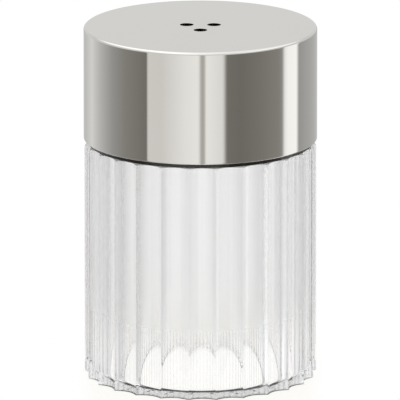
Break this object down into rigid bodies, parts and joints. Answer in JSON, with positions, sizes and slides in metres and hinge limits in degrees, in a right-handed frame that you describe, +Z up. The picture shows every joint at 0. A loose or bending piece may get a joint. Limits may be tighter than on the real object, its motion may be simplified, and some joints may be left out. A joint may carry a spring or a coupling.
{
  "type": "salt shaker",
  "caption": "Round table salt shaker: a clear jar with upright flutes under a screw-on cap of polished steel with pouring holes in its flat top.",
  "frame": {"origin": "centre of the jar's underside", "axes": "+Z up along the axis that the cap turns about, -Y towards the pictured front"},
  "size_m": [0.046, 0.046, 0.07],
  "materials": {
    "clear_glass": "clear, smooth",
    "polished_steel": "polished",
    "black_plastic": "satin",
    "pale_silicone": "matt"
  },
  "bodies": {
    "jar": {"fluted_jar": "clear_glass"},
    "seal": {"sealing_ring": "pale_silicone"},
    "cap": {"cap_shell": "polished_steel", "thread_insert": "black_plastic"}
  },
  "joints": [
    {"name": "cap_lift", "type": "slide", "parent": "jar", "child": "seal", "axis": [0, 0, 1], "range_m": [0, 0.00481]},
    {"name": "cap_turn", "type": "hinge", "parent": "seal", "child": "cap", "pos_m": [0, 0, 0.0465], "axis": [0, 0, 1], "range_deg": [0, 540]}
  ],
  "couplings": [
    {"joint": "cap_lift", "follows": "cap_turn", "m_per_rad": 0.0005093}
  ]
}
